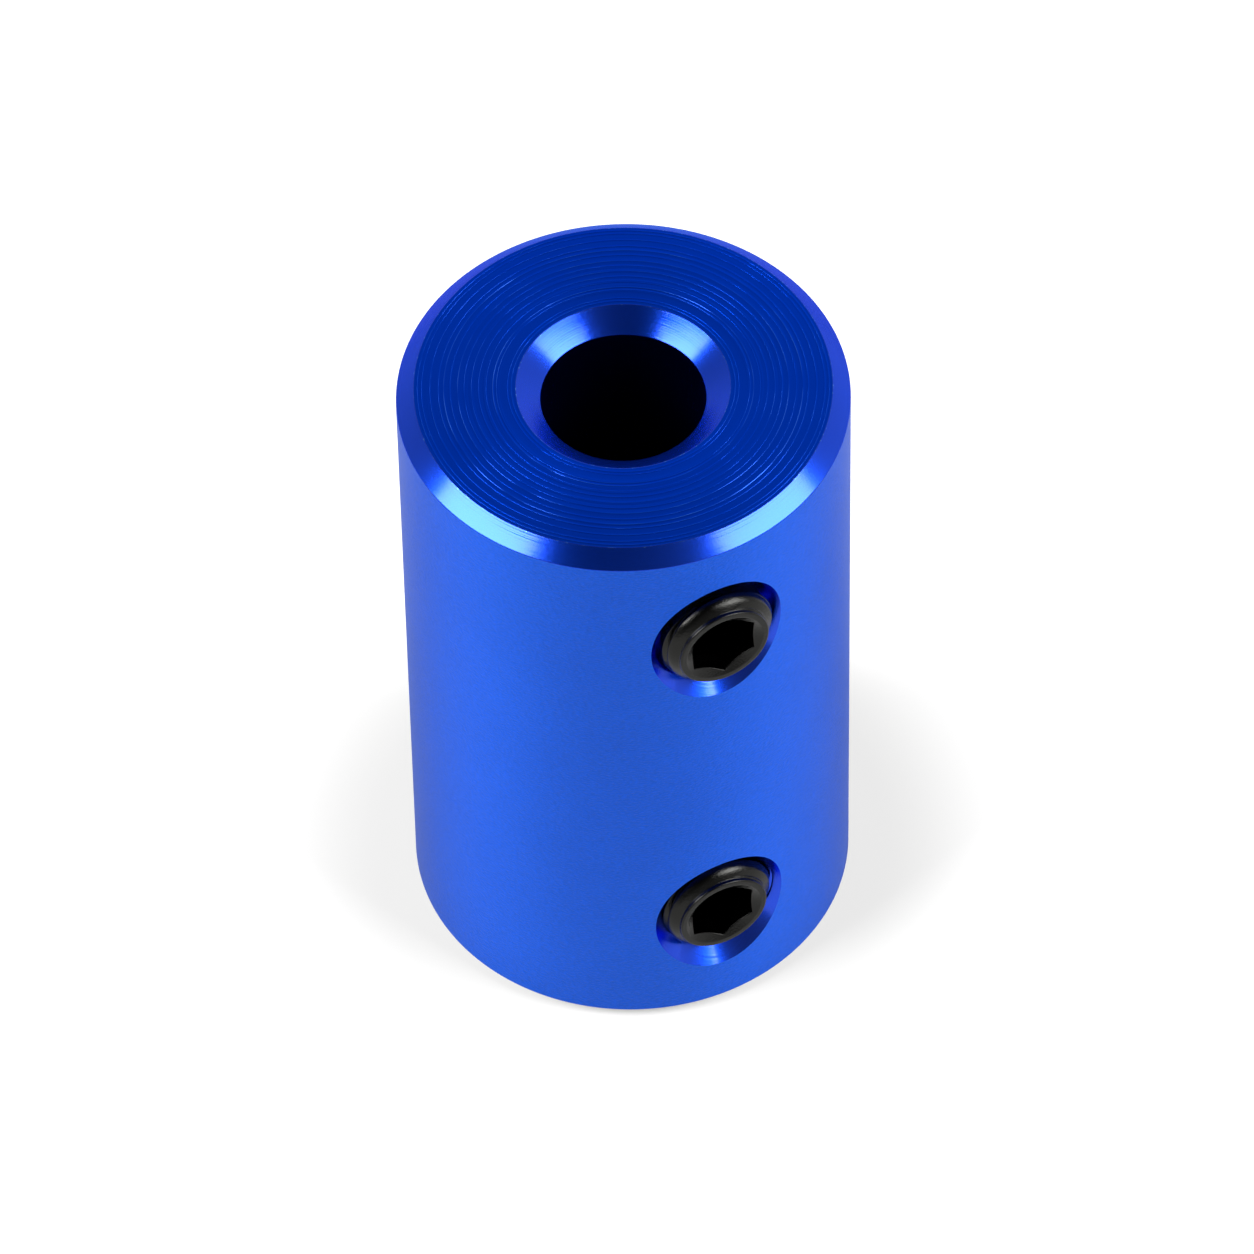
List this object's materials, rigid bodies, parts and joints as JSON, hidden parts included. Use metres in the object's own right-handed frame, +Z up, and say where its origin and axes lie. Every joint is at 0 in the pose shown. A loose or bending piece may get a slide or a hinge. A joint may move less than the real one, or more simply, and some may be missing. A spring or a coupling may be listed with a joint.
{
  "type": "shaft coupling",
  "caption": "Straight rigid sleeve with a plain through bore and a row of hexagon-socket set screws in its wall, for joining shafts end to end.",
  "frame": {"origin": "on the bore's axis, at the lower end face, which the coupling stands on", "axes": "+Z up along the bore's axis; the set screws face -Y; +X completes the right-handed frame"},
  "size_m": [0.014, 0.0143, 0.023],
  "materials": {
    "blue_anodised_aluminium": "satin",
    "black_oxide_steel": "satin"
  },
  "bodies": {
    "sleeve": {"coupling_sleeve": "blue_anodised_aluminium"},
    "upper_screw": {"upper_set_screw": "black_oxide_steel"},
    "lower_screw": {"lower_set_screw": "black_oxide_steel"}
  },
  "joints": [
    {"name": "upper_screw_travel", "type": "slide", "parent": "sleeve", "child": "upper_screw", "axis": [0, -1, 0], "range_m": [-0.0007, 0.0014]},
    {"name": "lower_screw_travel", "type": "slide", "parent": "sleeve", "child": "lower_screw", "axis": [0, -1, 0], "range_m": [-0.0007, 0.0014]}
  ]
}
